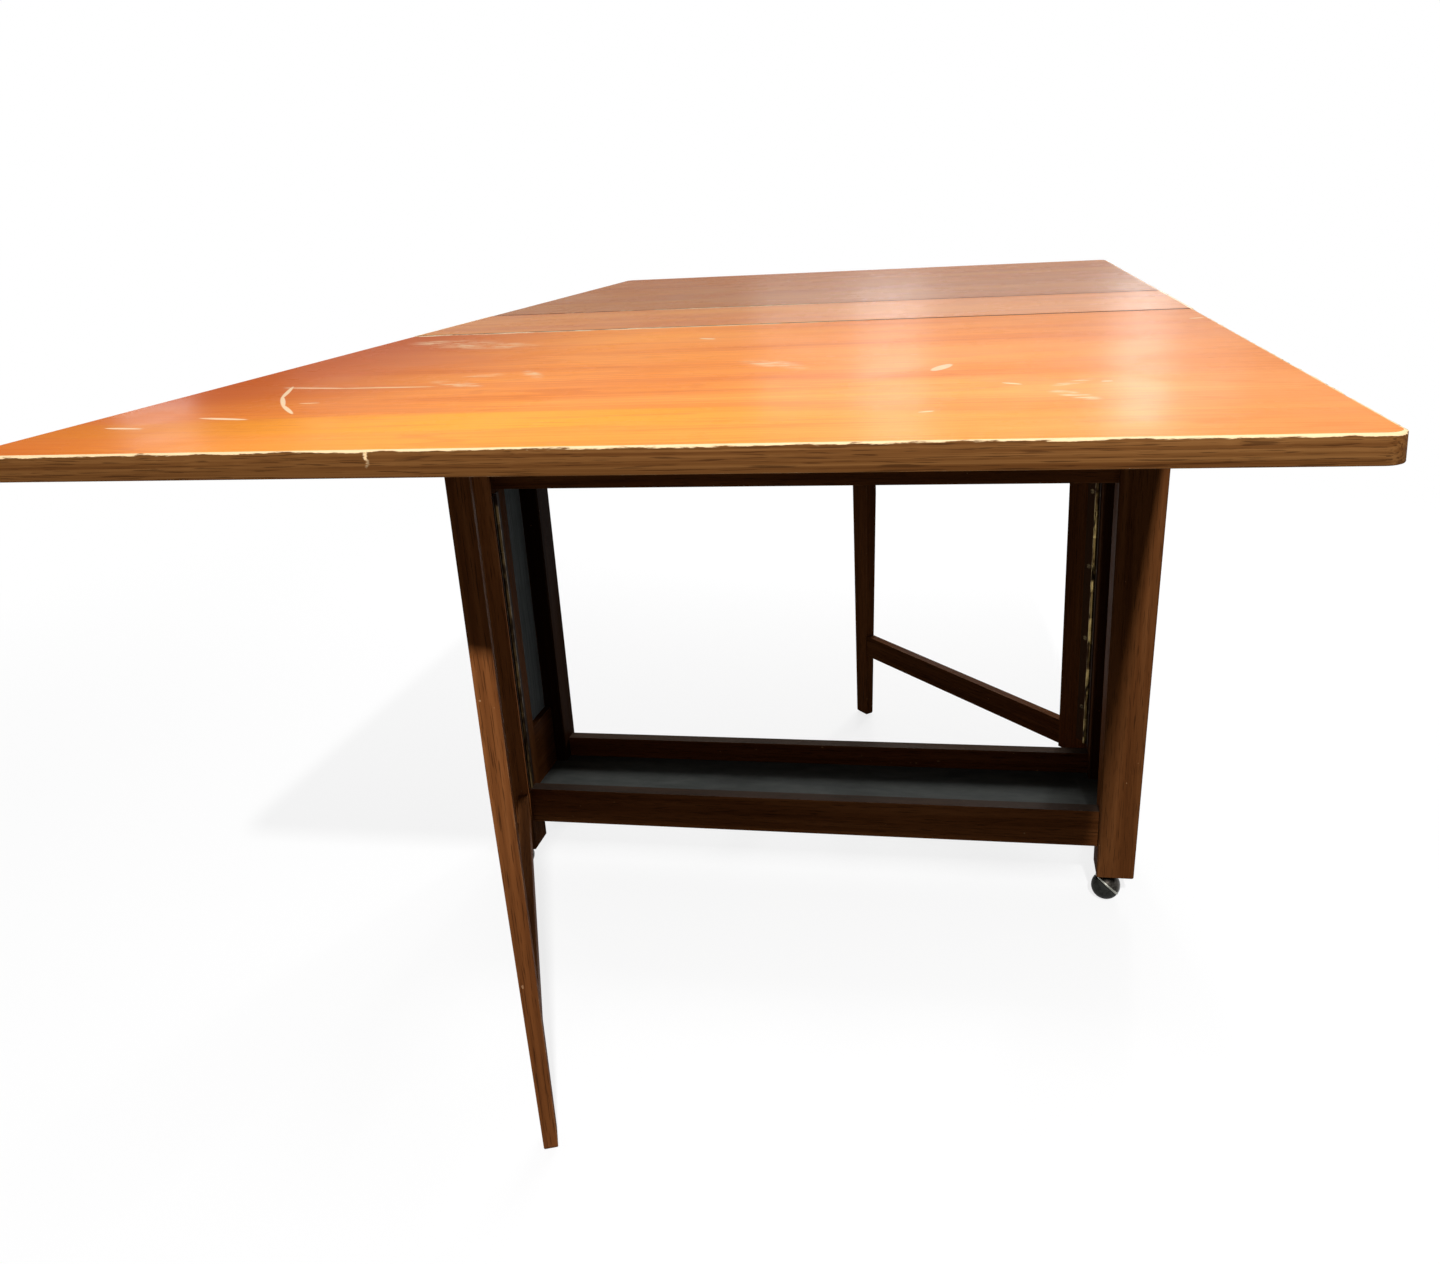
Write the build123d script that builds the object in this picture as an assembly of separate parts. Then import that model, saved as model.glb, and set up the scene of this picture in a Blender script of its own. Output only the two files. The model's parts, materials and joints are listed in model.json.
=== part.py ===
from build123d import *
import math
import os

# Drop leaf table with two swinging gates, a storage bay and four ball castors.
# Millimetres, +Z up. The origin is on the floor under the middle of the table.
# X runs along the seams, -Y is the near leaf's side and +Y the far leaf's side.
# The table stands as it is used: both leaves up, each held by its gate.

# Top boards
table_height = 735.0
top_thickness = 17.0
top_width = 868.0
centre_depth = 240.0
leaf_length = 688.0
seam_gap = 2.0
corner_radius = 14.0
edging_thickness = 3.0
arris_radius = 1.0
seam_arris = 1.2

# Corner posts: the inner face is upright, the outer face tapers towards the foot
end_overhang = 5.0
frame_inset = 20.0
post_width = 56.0
post_foot_width = 45.0
post_depth = 45.0
post_arris = 1.5

# Rails between the posts
rail_thickness = 18.0
apron_height = 173.0
tray_rail_bottom = 80.0
tray_rail_height = 49.0
rail_setback = 8.0
end_rail_thickness = 24.0
end_top_rail_height = 60.0
end_bottom_rail_height = 107.0
tenon_length = 14.0
tenon_thickness = 8.0
tenon_shoulder = 18.0
tray_tenon_shoulder = 10.0

# End panels and the tray floor
panel_thickness = 6.0
panel_groove = 8.0
tray_hollow = 29.0
tray_floor_thickness = 8.0
tray_floor_groove = 6.0
tray_tongue_thickness = 5.0

# Blocks that hold the centre board down on the aprons
fixing_block_length = 60.0
fixing_block_side = 24.0
fixing_block_spacing = 420.0

# Gates, hung in front of the posts: folded, they lie under the centre board's overhang
gate_reach = 532.0
gate_thickness = 19.0
gate_bar_width = 38.0
gate_stile_width = 48.0
gate_foot_width = 26.0
gate_foot_thickness = 14.0
gate_taper_height = 400.0
gate_foot_round = 4.5
gate_rail_thickness = 13.0
gate_rail_setback = 1.0
gate_rail_height = 36.0
gate_lower_rail_bottom = 114.0
gate_stile_bottom = 110.0
gate_rail_drop = 7.0
gate_top_clearance = 0.3
gate_tenon_length = 22.0
gate_tenon_thickness = 7.0
gate_tenon_shoulder = 6.0
near_gate_opening = 68.5
far_gate_opening = 47.8
gate_stop_gap = 0.4

# Long hinge of each gate in the corner of post and gate, with knuckles that
# interleave on one pin. It runs from above the tray rail to below the apron.
gate_hinge_margin = 6.0
gate_knuckle_count = 11
gate_plate_width = 15.0
gate_plate_thickness = 1.2
gate_knuckle_diameter = 6.0
gate_pin_diameter = 3.0
gate_knuckle_standoff = 0.3
gate_screw_count = 4

# Butt hinges of each leaf, let in flush under the boards
leaf_hinge_spacing = 300.0
leaf_hinge_length = 60.0
leaf_knuckle_count = 3
leaf_plate_width = 28.0
leaf_plate_thickness = 1.5
leaf_knuckle_diameter = 6.0
leaf_pin_diameter = 3.0
leaf_screw_spacing = 40.0

# Fits shared by the hinges
pin_clearance = 0.05
knuckle_side_gap = 0.3
knuckle_relief = 0.6

# Countersunk wood screws with a slot across the head
screw_head_diameter = 6.0
screw_shank_diameter = 3.0
screw_slot_width = 0.9
screw_slot_depth = 0.7
hinge_screw_length = 12.0
block_screw_length = 36.0

# Ball castors: a domed hood and a domed wheel that meet on a slanting plane
ball_diameter = 36.0
ball_trail = 9.0
ball_slant = 45.0
ball_split = 0.8
hood_wall = 2.0
hood_boss_diameter = 11.0
axle_diameter = 5.0
axle_wheel_length = 11.0
stem_diameter = 8.0
stem_length = 30.0
stem_clearance = 0.08
socket_diameter = 11.0
socket_flange_diameter = 28.0
socket_flange_thickness = 2.0
swivel_gap = 1.0
castor_headings = {"front_right": 200.0, "front_left": 190.0, "rear_right": 115.0, "rear_left": 35.0}

# Levels and places that follow from the sizes above
underside = table_height - top_thickness
post_outer_x = top_width / 2 - end_overhang
post_inner_x = post_outer_x - post_width
frame_half = centre_depth / 2 - frame_inset
post_back_y = frame_half - post_depth
post_bottom = ball_diameter + swivel_gap + socket_flange_thickness
rail_outer_y = frame_half - rail_setback
rail_inner_y = rail_outer_y - rail_thickness
rail_middle_y = (rail_outer_y + rail_inner_y) / 2
end_middle_x = (post_inner_x + post_outer_x) / 2
end_inner_x = end_middle_x - end_rail_thickness / 2
tray_rail_top = tray_rail_bottom + tray_rail_height
tray_floor_top = tray_rail_top - tray_hollow
end_bottom_rail_top = tray_rail_bottom + end_bottom_rail_height
end_top_rail_bottom = underside - end_top_rail_height
gate_top = underside - gate_rail_drop
gate_face = gate_knuckle_diameter / 2 + gate_knuckle_standoff
pin_x = post_inner_x - gate_face
pin_y = frame_half - gate_face
seam_y = centre_depth / 2 + seam_gap / 2
castor_x = post_inner_x + post_foot_width / 2
castor_y = frame_half - post_depth / 2
castor_places = {
    "front_right": (castor_x, -castor_y),
    "front_left": (-castor_x, -castor_y),
    "rear_right": (castor_x, castor_y),
    "rear_left": (-castor_x, castor_y),
}


def block(x0, x1, y0, y1, z0, z1):
    middle = ((x0 + x1) / 2, (y0 + y1) / 2, (z0 + z1) / 2)
    return Pos(*middle) * Box(x1 - x0, y1 - y0, z1 - z0)


def bar(radius, z0, z1):
    return Pos(0, 0, (z0 + z1) / 2) * Cylinder(radius, z1 - z0)


def in_quarter(shape, side_x, side_y):
    # A shape drawn in the +X +Y quarter, moved by mirroring to another quarter
    if side_x < 0:
        shape = shape.mirror(Plane.YZ)
    if side_y < 0:
        shape = shape.mirror(Plane.XZ)
    return shape


def write(node, *solids):
    flat = [solid for shape in solids for solid in shape.solids()]
    export_step(flat[0] if len(flat) == 1 else Compound(children=flat), f"parts/{node}.step")


def screw(length):
    # Head level with z = 0, shank along -Z
    head = screw_head_diameter / 2
    shank = screw_shank_diameter / 2
    outline = Polyline(
        (0, 0), (head, 0), (shank, shank - head), (shank, -length), (0, -length), close=True
    )
    return revolve(Plane.XZ * make_face(outline), Axis.Z)


def slotted(screws):
    # The slot lies in the flat top of each head
    reach = screw_head_diameter / 2
    slot = block(-reach, reach, -screw_slot_width / 2, screw_slot_width / 2, -screw_slot_depth, 0)
    tops = [Plane(one.faces().filter_by(GeomType.PLANE).sort_by(SortBy.AREA)[-1]) for one in screws]
    return [one - top * slot for one, top in zip(screws, tops)]


def knuckled_plate(length, count, first, plate_offset, thickness, width, diameter, pin):
    # Half of a hinge. The pin axis is Z from 0 to length, the plate reaches along +Y,
    # and the knuckles that it owns are every second one, from the number given.
    radius = diameter / 2
    pitch = length / count
    clear = radius + knuckle_relief
    x0, x1 = sorted((plate_offset, plate_offset + thickness))
    half = block(x0, x1, clear, width, 0, length)
    for number in range(first, count, 2):
        z0 = number * pitch + (knuckle_side_gap / 2 if number > 0 else 0)
        z1 = (number + 1) * pitch - (knuckle_side_gap / 2 if number < count - 1 else 0)
        half += block(x0, x1, 0, clear, z0, z1) + bar(radius, z0, z1)
    return half - bar(pin / 2 + pin_clearance, -1, length + 1)


def spread(count, length):
    # Places evenly spaced along a length, with half a step at each end
    return [(number + 0.5) * length / count for number in range(count)]


# Butt hinge of a leaf. The pin axis lies along X, the near seam is drawn and
# the far one is the same turned half round about Z.
leaf_pin_z = underside + leaf_plate_thickness - leaf_knuckle_diameter / 2
leaf_plate_reach = leaf_knuckle_diameter / 2 + knuckle_relief + leaf_plate_width
leaf_hinge_places = [-leaf_hinge_spacing, 0.0, leaf_hinge_spacing]
leaf_plate_offset = leaf_knuckle_diameter / 2 - leaf_plate_thickness


def leaf_plate(x, side):
    # side +1 is let into the centre board, -1 into the near leaf
    half = knuckled_plate(
        leaf_hinge_length,
        leaf_knuckle_count,
        0 if side > 0 else 1,
        leaf_plate_offset,
        leaf_plate_thickness,
        leaf_plate_reach,
        leaf_knuckle_diameter,
        leaf_pin_diameter,
    )
    laid = Plane((x, -seam_y, leaf_pin_z), x_dir=(0, 0, 1), z_dir=(-side, 0, 0))
    return laid * Pos(0, 0, -leaf_hinge_length / 2) * half


def leaf_screws(x, side):
    y = -seam_y + side * (leaf_plate_reach - leaf_plate_width / 2)
    turned = Rot(180, 0, 0) * screw(hinge_screw_length)
    return [
        Pos(x + offset, y, underside) * turned
        for offset in (-leaf_screw_spacing / 2, leaf_screw_spacing / 2)
    ]


def leaf_recess(x):
    # What the plates and the barrel take out of the two boards
    plates = block(
        x - leaf_hinge_length / 2,
        x + leaf_hinge_length / 2,
        -seam_y - leaf_plate_reach,
        -seam_y + leaf_plate_reach,
        underside,
        underside + leaf_plate_thickness,
    )
    barrel = bar(leaf_knuckle_diameter / 2 + knuckle_relief, -leaf_hinge_length / 2, leaf_hinge_length / 2)
    return plates + Plane((x, -seam_y, leaf_pin_z), x_dir=(0, 0, 1), z_dir=(1, 0, 0)) * barrel


def half_turn(shapes):
    return [Rot(0, 0, 180) * shape for shape in shapes]


fixed_plates = [leaf_plate(x, 1) for x in leaf_hinge_places]
moving_plates = [leaf_plate(x, -1) for x in leaf_hinge_places]
fixed_screws = [one for x in leaf_hinge_places for one in leaf_screws(x, 1)]
moving_screws = [one for x in leaf_hinge_places for one in leaf_screws(x, -1)]
fixed_plates = [plate - fixed_screws for plate in fixed_plates]
moving_plates = [plate - moving_screws for plate in moving_plates]
leaf_pins = [
    Plane((x, -seam_y, leaf_pin_z), x_dir=(0, 0, 1), z_dir=(1, 0, 0))
    * bar(leaf_pin_diameter / 2, -leaf_hinge_length / 2, leaf_hinge_length / 2)
    for x in leaf_hinge_places
]
leaf_recesses = [leaf_recess(x) for x in leaf_hinge_places]

# Leaf: a veneered board with a solid edging round its three free sides
leaf_inner_y = -centre_depth / 2 - seam_gap
leaf_outer_y = leaf_inner_y - leaf_length


def leaf_outline(margin):
    middle_y = (leaf_inner_y + leaf_outer_y + margin) / 2
    sheet = Pos(0, middle_y) * Rectangle(top_width - 2 * margin, leaf_length - margin)
    outer_corners = sheet.vertices().sort_by(Axis.Y)[:2]
    return fillet(outer_corners, corner_radius - margin)


leaf_whole = extrude(Pos(0, 0, underside) * leaf_outline(0), top_thickness)
leaf_core = extrude(Pos(0, 0, underside) * leaf_outline(edging_thickness), top_thickness)
leaf_rim = [
    edge
    for edge in leaf_whole.faces().sort_by(Axis.Z)[-1].edges() + leaf_whole.faces().sort_by(Axis.Z)[0].edges()
    if edge.center().Y < leaf_inner_y - arris_radius
]
leaf_edging = fillet(leaf_rim, arris_radius) - leaf_core
leaf_seam_edge = leaf_core.faces().sort_by(Axis.Y)[-1].edges().sort_by(Axis.Z)[-1]
leaf_board = fillet(leaf_seam_edge, seam_arris) - leaf_recesses - moving_screws

# Centre board, with edging on its two short ends
centre_core_x = top_width / 2 - edging_thickness
centre_board = block(
    -centre_core_x, centre_core_x, -centre_depth / 2, centre_depth / 2, underside, table_height
)
centre_seam_edges = centre_board.faces().sort_by(Axis.Z)[-1].edges().filter_by(Axis.X)
centre_board = fillet(centre_seam_edges, seam_arris)
centre_strip = block(
    centre_core_x, top_width / 2, -centre_depth / 2, centre_depth / 2, underside, table_height
)
strip_rim = centre_strip.faces().sort_by(Axis.X)[-1].edges().filter_by(Axis.Y)
centre_strip = fillet(strip_rim, arris_radius)

# Fixing blocks behind the aprons and the screws that go up into the centre board
block_middle_y = rail_inner_y - fixing_block_side / 2
fixing_block = block(
    fixing_block_spacing / 2 - fixing_block_length / 2,
    fixing_block_spacing / 2 + fixing_block_length / 2,
    rail_inner_y - fixing_block_side,
    rail_inner_y,
    underside - fixing_block_side,
    underside,
)
block_screw = Pos(fixing_block_spacing / 2, block_middle_y, underside - fixing_block_side) * Rot(180, 0, 0) * screw(
    block_screw_length
)
quarters = {"front_right": (1, -1), "front_left": (-1, -1), "rear_right": (1, 1), "rear_left": (-1, 1)}
fixing_blocks = [in_quarter(fixing_block - block_screw, *side) for side in quarters.values()]
block_screws = [in_quarter(block_screw, *side) for side in quarters.values()]
centre_board = (
    centre_board
    - leaf_recesses
    - half_turn(leaf_recesses)
    - fixed_screws
    - half_turn(fixed_screws)
    - block_screws
)


# Rails, drawn in the +X +Y quarter's planes. Each has stub tenons in its posts.
def long_rail(z0, z1, shoulder):
    reach = post_inner_x + tenon_length
    tenon_y0 = rail_middle_y - tenon_thickness / 2
    tenon_y1 = rail_middle_y + tenon_thickness / 2
    rail = block(-post_inner_x, post_inner_x, rail_inner_y, rail_outer_y, z0, z1)
    return rail + block(-reach, reach, tenon_y0, tenon_y1, z0 + shoulder, z1 - shoulder)


def end_rail(z0, z1):
    reach = post_back_y + tenon_length
    x0 = end_middle_x - tenon_thickness / 2
    x1 = end_middle_x + tenon_thickness / 2
    rail = block(end_inner_x, end_inner_x + end_rail_thickness, -post_back_y, post_back_y, z0, z1)
    return rail + block(x0, x1, -reach, reach, z0 + tenon_shoulder, z1 - tenon_shoulder)


apron = long_rail(underside - apron_height, underside, tenon_shoulder)
tray_rail = long_rail(tray_rail_bottom, tray_rail_top, tray_tenon_shoulder)
end_top_rail = end_rail(end_top_rail_bottom, underside)
end_bottom_rail = end_rail(tray_rail_bottom, end_bottom_rail_top)

# End panel, held in grooves of its two posts and two rails
end_panel = block(
    end_middle_x - panel_thickness / 2,
    end_middle_x + panel_thickness / 2,
    -post_back_y - panel_groove,
    post_back_y + panel_groove,
    end_bottom_rail_top - panel_groove,
    end_top_rail_bottom + panel_groove,
)
end_top_rail -= end_panel
end_bottom_rail -= end_panel

# Tray floor, rebated to a tongue in the two tray rails and butted to the end rails
tray_floor_bottom = tray_floor_top - tray_floor_thickness
tray_floor = block(
    -end_inner_x, end_inner_x, -rail_inner_y, rail_inner_y, tray_floor_bottom, tray_floor_top
) + block(
    -post_inner_x,
    post_inner_x,
    -rail_inner_y - tray_floor_groove,
    rail_inner_y + tray_floor_groove,
    tray_floor_bottom,
    tray_floor_bottom + tray_tongue_thickness,
)
post_space = block(post_inner_x, post_outer_x, post_back_y, frame_half, post_bottom, underside)
tray_floor -= [in_quarter(post_space, *side) for side in quarters.values()]
tray_rail -= tray_floor

# Castor, drawn with its stem on Z and the ball trailing along +X
ball_radius = ball_diameter / 2
ball_middle = (ball_trail, 0, ball_radius)
slant = math.radians(ball_slant)
wheel_way = (math.sin(slant), 0, -math.cos(slant))
split_plane = Plane(ball_middle, x_dir=(0, 1, 0), z_dir=wheel_way)
half_space = 2 * ball_diameter


def ball_half(radius, side):
    keep = block(
        -half_space, half_space, -half_space, half_space, *sorted((side * ball_split / 2, side * half_space))
    )
    return Sphere(radius) & keep


axle_start = -(ball_radius - hood_wall)
wheel_bore = bar(axle_diameter / 2 + pin_clearance, ball_split / 2, axle_wheel_length + pin_clearance)
castor_wheel = split_plane * (ball_half(ball_radius, 1) - wheel_bore)
castor_axle = split_plane * bar(axle_diameter / 2, axle_start, axle_wheel_length)
stem_bottom = ball_radius
stem_top = post_bottom + stem_length
hood_shell = split_plane * ball_half(ball_radius, -1) + bar(stem_diameter / 2, stem_bottom, stem_top)
hood_hollow = split_plane * ball_half(ball_radius - hood_wall, -1)
hood_mouth = split_plane * bar(ball_radius - hood_wall, -ball_split / 2, 0)
hood_boss = split_plane * bar(hood_boss_diameter / 2, axle_start - hood_wall / 2, -ball_split / 2)
castor_hood = hood_shell - hood_hollow - hood_mouth + hood_boss - castor_axle
socket_sleeve = bar(socket_diameter / 2, post_bottom, stem_top + swivel_gap)
socket_flange = bar(socket_flange_diameter / 2, post_bottom - socket_flange_thickness, post_bottom)
stem_bore = bar(stem_diameter / 2 + stem_clearance, 0, stem_top + swivel_gap)
castor_socket = socket_flange + socket_sleeve - stem_bore
socket_hole = bar(socket_diameter / 2, post_bottom, stem_top + swivel_gap)

# Corner post of the +X +Y quarter, with its mortises, panel groove and castor hole
post_outline = Plane.XZ * make_face(
    Polyline(
        (post_inner_x, post_bottom),
        (post_inner_x + post_foot_width, post_bottom),
        (post_outer_x, underside),
        (post_inner_x, underside),
        close=True,
    )
)
post = Pos(0, frame_half, 0) * extrude(post_outline, post_depth)
post_arrises = post.edges() - post.faces().sort_by(Axis.Z)[-1].edges()
post = chamfer(post_arrises, post_arris)
post -= [apron, tray_rail, end_top_rail, end_bottom_rail, end_panel]
post -= Pos(castor_x, castor_y, 0) * socket_hole

# Gate, drawn folded with its pin on Z: it reaches along +X, and -Y is its outer side.
# Swung open square, the stile's edge comes to rest against the face of the post.
stile_x0 = gate_face + gate_stop_gap
stile_x1 = stile_x0 + gate_stile_width
gate_y1 = -gate_face
gate_y0 = gate_y1 - gate_thickness
gate_middle_y = (gate_y0 + gate_y1) / 2
rail_y1 = gate_y1 - gate_rail_setback
rail_y0 = rail_y1 - gate_rail_thickness
leg_x0 = gate_reach - gate_bar_width
leg_top = underside - gate_top_clearance
gate_stile = block(stile_x0, stile_x1, gate_y0, gate_y1, gate_stile_bottom, gate_top)
foot_middle_x = gate_reach - gate_foot_width / 2
foot_middle_y = gate_y1 - gate_foot_thickness / 2
foot_section = Pos(foot_middle_x, foot_middle_y, 0) * Rectangle(gate_foot_width, gate_foot_thickness)
knee_section = Pos(gate_reach - gate_bar_width / 2, gate_middle_y, gate_taper_height) * Rectangle(
    gate_bar_width, gate_thickness
)
gate_shin = loft([foot_section, knee_section], ruled=True)
gate_shin = fillet(gate_shin.faces().sort_by(Axis.Z)[0].edges(), gate_foot_round)
gate_leg = gate_shin + block(leg_x0, gate_reach, gate_y0, gate_y1, gate_taper_height, leg_top)


def gate_rail(z0):
    z1 = z0 + gate_rail_height
    bare = block(stile_x1, gate_reach - gate_foot_width / 2, rail_y0, rail_y1, z0, z1) - gate_leg
    tenon_y0 = (rail_y0 + rail_y1 - gate_tenon_thickness) / 2
    tenons = block(
        stile_x1 - gate_tenon_length,
        leg_x0 + gate_tenon_length,
        tenon_y0,
        tenon_y0 + gate_tenon_thickness,
        z0 + gate_tenon_shoulder,
        z1 - gate_tenon_shoulder,
    )
    return bare + tenons


gate_lower_rail = gate_rail(gate_lower_rail_bottom)
gate_top_rail = gate_rail(gate_top - gate_rail_height)
gate_leg -= [gate_lower_rail, gate_top_rail]
gate_stile -= [gate_lower_rail, gate_top_rail]

# The gate's hinge: one half on the post's inner side, the other on the gate's inner
# face, round one pin in the corner between them
gate_hinge_bottom = tray_rail_top + gate_hinge_margin
gate_hinge_top = underside - apron_height - gate_hinge_margin
gate_hinge_length = gate_hinge_top - gate_hinge_bottom
gate_plate_reach = gate_face + gate_plate_width
gate_screw_row = gate_face + gate_plate_width / 2
gate_plate_top = gate_face - gate_plate_thickness


def gate_plate(first, plate_offset, thickness):
    half = knuckled_plate(
        gate_hinge_length,
        gate_knuckle_count,
        first,
        plate_offset,
        thickness,
        gate_plate_reach,
        gate_knuckle_diameter,
        gate_pin_diameter,
    )
    return Pos(0, 0, gate_hinge_bottom) * half


def screw_column(x, y, turn):
    # Heads level with the plate, shanks into the wood behind it
    turned = turn * screw(hinge_screw_length)
    return [Pos(x, y, gate_hinge_bottom + z) * turned for z in spread(gate_screw_count, gate_hinge_length)]


post_side_screws = screw_column(-gate_plate_top, gate_screw_row, Rot(0, 90, 0))
gate_side_screws = screw_column(gate_screw_row, -gate_plate_top, Rot(-90, 0, 0))
post_side_plate = gate_plate(0, -gate_face, gate_plate_thickness) - post_side_screws
gate_side_plate = Rot(0, 0, -90) * gate_plate(1, gate_face, -gate_plate_thickness) - gate_side_screws
gate_pin = bar(gate_pin_diameter / 2, gate_hinge_bottom, gate_hinge_top)
gate_stile -= gate_side_screws

# Where the folded gates sit: the near one on the left post, the far one half a turn away
near_fold = Pos(-pin_x, -pin_y, 0)
far_fold = Rot(0, 0, 180) * near_fold
near_open = near_fold * Rot(0, 0, -near_gate_opening)
far_open = far_fold * Rot(0, 0, -far_gate_opening)

os.makedirs("parts", exist_ok=True)
write("near_leaf", leaf_board)
write("near_leaf_edging", leaf_edging)
write("far_leaf", *half_turn([leaf_board]))
write("far_leaf_edging", *half_turn([leaf_edging]))
write("centre_top", centre_board)
write("centre_top_edging", centre_strip, centre_strip.mirror(Plane.YZ))
write("top_fixing_blocks", *fixing_blocks)
write("top_fixing_screws", *slotted(block_screws))

for name, side in quarters.items():
    corner = in_quarter(post, *side)
    if name == "front_left":
        corner -= [near_fold * one for one in post_side_screws]
    if name == "rear_right":
        corner -= [far_fold * one for one in post_side_screws]
    write(f"{name}_post", corner)
write("front_apron", apron.mirror(Plane.XZ))
write("rear_apron", apron)
write("tray_front_rail", tray_rail.mirror(Plane.XZ))
write("tray_rear_rail", tray_rail)
write("tray_floor", tray_floor)
for name, side_x in (("left", -1), ("right", 1)):
    write(f"{name}_end_panel", in_quarter(end_panel, side_x, 1))
    write(f"{name}_end_top_rail", in_quarter(end_top_rail, side_x, 1))
    write(f"{name}_end_bottom_rail", in_quarter(end_bottom_rail, side_x, 1))

for name, place in (("near", near_open), ("far", far_open)):
    write(f"{name}_gate_leg", place * gate_leg)
    write(f"{name}_gate_stile", place * gate_stile)
    write(f"{name}_gate_top_rail", place * gate_top_rail)
    write(f"{name}_gate_lower_rail", place * gate_lower_rail)
    write(f"{name}_gate_hinge_gate_plate", place * gate_side_plate)
    write(f"{name}_gate_hinge_screws", *[place * one for one in slotted(gate_side_screws)])
write("near_gate_hinge_post_plate", near_fold * post_side_plate)
write("far_gate_hinge_post_plate", far_fold * post_side_plate)
write("gate_hinge_pins", near_fold * gate_pin, far_fold * gate_pin)
slotted_post_screws = slotted(post_side_screws)
write("post_hinge_screws", *[fold * one for fold in (near_fold, far_fold) for one in slotted_post_screws])

write("leaf_hinge_fixed_plates", *fixed_plates, *half_turn(fixed_plates))
write("leaf_hinge_fixed_screws", *slotted(fixed_screws), *half_turn(slotted(fixed_screws)))
write("leaf_hinge_pins", *leaf_pins, *half_turn(leaf_pins))
write("near_leaf_hinge_plates", *moving_plates)
write("near_leaf_hinge_screws", *slotted(moving_screws))
write("far_leaf_hinge_plates", *half_turn(moving_plates))
write("far_leaf_hinge_screws", *half_turn(slotted(moving_screws)))

sockets = []
for name, (x, y) in castor_places.items():
    turned = Pos(x, y, 0) * Rot(0, 0, castor_headings[name])
    write(f"{name}_castor_hood", turned * castor_hood)
    write(f"{name}_castor_axle", turned * castor_axle)
    write(f"{name}_castor_wheel", turned * castor_wheel)
    sockets.append(Pos(x, y, 0) * castor_socket)
write("castor_sockets", *sockets)
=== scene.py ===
import bpy
import json
import math
from mathutils import Matrix, Vector


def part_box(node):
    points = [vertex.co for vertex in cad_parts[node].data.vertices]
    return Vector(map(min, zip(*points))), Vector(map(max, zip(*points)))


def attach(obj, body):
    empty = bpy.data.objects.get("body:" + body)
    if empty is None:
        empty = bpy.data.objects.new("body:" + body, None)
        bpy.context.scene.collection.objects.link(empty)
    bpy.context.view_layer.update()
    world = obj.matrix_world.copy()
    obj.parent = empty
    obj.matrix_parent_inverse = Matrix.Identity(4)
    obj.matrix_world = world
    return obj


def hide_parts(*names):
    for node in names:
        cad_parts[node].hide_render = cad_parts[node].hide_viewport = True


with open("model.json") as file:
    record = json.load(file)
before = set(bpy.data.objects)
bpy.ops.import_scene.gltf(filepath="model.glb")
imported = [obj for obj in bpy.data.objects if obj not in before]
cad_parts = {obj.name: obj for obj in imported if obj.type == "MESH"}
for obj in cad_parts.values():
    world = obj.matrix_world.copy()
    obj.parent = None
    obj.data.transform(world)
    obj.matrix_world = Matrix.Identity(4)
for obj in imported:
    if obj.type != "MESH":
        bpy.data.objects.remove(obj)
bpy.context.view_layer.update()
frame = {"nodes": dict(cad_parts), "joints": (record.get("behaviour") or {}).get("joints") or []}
cad = frame["nodes"]
print("frame loaded,", len(cad), "CAD nodes")

# where the boards lie, read off the frame (metres)
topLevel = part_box("centre_top")[1].z
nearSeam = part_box("near_leaf")[1].y
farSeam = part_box("far_leaf")[0].y
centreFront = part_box("centre_top")[0].y
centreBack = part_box("centre_top")[1].y
jointNamed = {joint["name"]: joint for joint in frame["joints"]}


# helpers for node trees: a value that is a socket is linked, any other is set

def put(tree, kind, values=None, **settings):
    made = tree.nodes.new("ShaderNode" + kind)
    for name, setting in settings.items():
        setattr(made, name, setting)
    for key, value in (values or {}).items():
        if isinstance(value, bpy.types.NodeSocket):
            tree.links.new(value, made.inputs[key])
        else:
            made.inputs[key].default_value = value
    return made


def calc(tree, operation, a, b=0.0, c=0.0, clamp=False):
    return put(tree, "Math", {0: a, 1: b, 2: c}, operation=operation, use_clamp=clamp).outputs[0]


def times(tree, a, b):
    return calc(tree, "MULTIPLY", a, b)


def less(tree, a, b):
    return calc(tree, "SUBTRACT", a, b)


def most(tree, a, b):
    return calc(tree, "MAXIMUM", a, b)


def mixture(tree, a, b, share):  # share of a, and the rest of b
    return calc(tree, "ADD", times(tree, a, share), times(tree, b, 1.0 - share))


def between(tree, value, low, high, outLow=0.0, outHigh=1.0):  # clamped, smooth from low to high
    values = {0: value, 1: low, 2: high, 3: outLow, 4: outHigh}
    return put(tree, "MapRange", values, interpolation_type="SMOOTHSTEP").outputs[0]


# a colour made opaque; a factor, where given, is a piece's painted light and shade
def opaque(rgb, paintedLight=1.0):
    return (*[paintedLight * channel for channel in rgb], 1.0)


def blendColour(tree, factor, a, b, way="MIX"):
    return put(tree, "Mix", {0: factor, 6: a, 7: b}, data_type="RGBA", blend_type=way).outputs[2]


def colours(tree, factor, stops, tones):
    made = put(tree, "ValToRGB", {0: factor})
    band = made.color_ramp
    while len(band.elements) < len(stops):
        band.elements.new(1.0)
    for element, place, tone in zip(band.elements, stops, tones):
        element.position = place
        element.color = tone
    return made.outputs[0]


def laidOut(tree, size, turn=(0.0, 0.0, 0.0), start=(0.0, 0.0, 0.0)):  # Object coordinates in units of size
    place = put(tree, "TexCoord").outputs["Object"]
    values = {"Vector": place, "Location": start, "Rotation": turn, "Scale": size}
    return put(tree, "Mapping", values, vector_type="TEXTURE").outputs[0]


def ownPlace(tree):  # X, Y and Z of Object coordinates
    return put(tree, "SeparateXYZ", {0: put(tree, "TexCoord").outputs["Object"]}).outputs


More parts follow.
